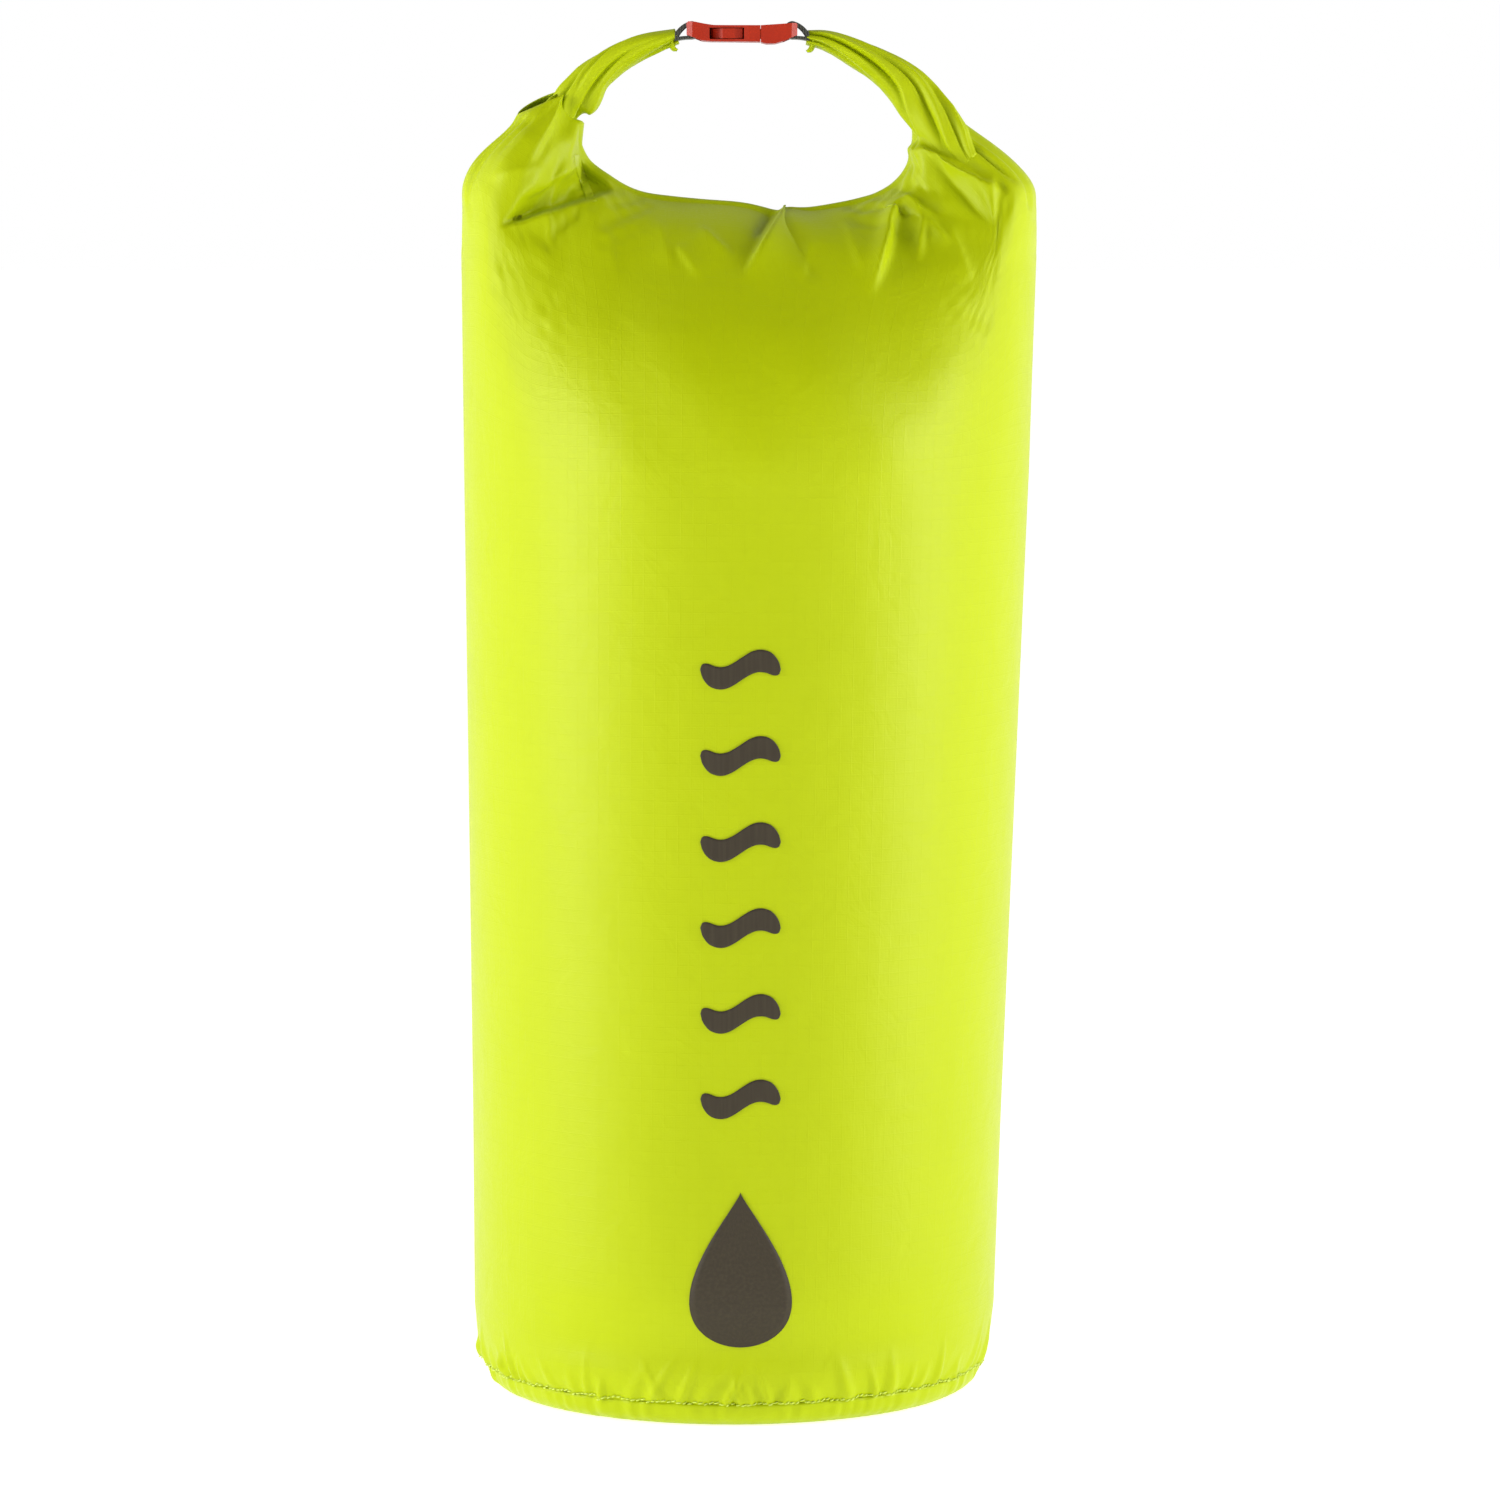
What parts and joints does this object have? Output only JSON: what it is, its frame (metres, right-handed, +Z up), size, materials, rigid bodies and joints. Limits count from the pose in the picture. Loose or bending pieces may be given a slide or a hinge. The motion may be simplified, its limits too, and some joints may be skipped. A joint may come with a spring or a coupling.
{
  "type": "dry bag",
  "caption": "Filled roll-top dry bag in lime coated nylon, its mouth rolled shut and the roll's ends clipped by a side-release buckle into a carry loop.",
  "frame": {"origin": "middle of the base, on the surface that the bag stands on", "axes": "+Z up, -Y towards the bag's front panel, X along the buckle, with +X the viewer's right"},
  "size_m": [0.244, 0.23, 0.5837],
  "materials": {
    "coated_nylon": "satin",
    "seam_tape": "satin",
    "webbing": "matte",
    "buckle_plastic": "satin"
  },
  "bodies": {
    "bag": {"body_panel": "coated_nylon", "base_panel": "coated_nylon", "base_seam_tape": "seam_tape", "side_seam_lap": "coated_nylon", "side_seam_tape": "seam_tape", "rolled_mouth": "coated_nylon", "hem_band": "webbing"},
    "carry_loop": {"left_handle_end": "coated_nylon", "right_handle_root": "coated_nylon", "left_webbing": "webbing", "buckle_female": "buckle_plastic"},
    "loop_right": {"right_handle_end": "coated_nylon", "right_webbing": "webbing", "buckle_male": "buckle_plastic"},
    "front_prong": {"front_prong": "buckle_plastic"},
    "back_prong": {"back_prong": "buckle_plastic"}
  },
  "joints": [
    {"name": "carry_loop_swing", "type": "hinge", "parent": "bag", "child": "carry_loop", "pos_m": [0, 0, 0.4944], "axis": [1, 0, 0], "range_deg": [-60, 60]},
    {"name": "buckle_release", "type": "slide", "parent": "carry_loop", "child": "loop_right", "axis": [1, 0, 0], "range_m": [0, 0.032], "deforming": ["front_prong", "back_prong"]},
    {"name": "front_prong_pinch", "type": "hinge", "parent": "loop_right", "child": "front_prong", "pos_m": [0.0076, -0.0076, 0.579], "axis": [0, 0, -1], "range_deg": [0, 12], "stiffness_Nm_per_rad": 0.7},
    {"name": "back_prong_pinch", "type": "hinge", "parent": "loop_right", "child": "back_prong", "pos_m": [0.0076, 0.0076, 0.579], "axis": [0, 0, 1], "range_deg": [0, 12], "stiffness_Nm_per_rad": 0.7}
  ]
}
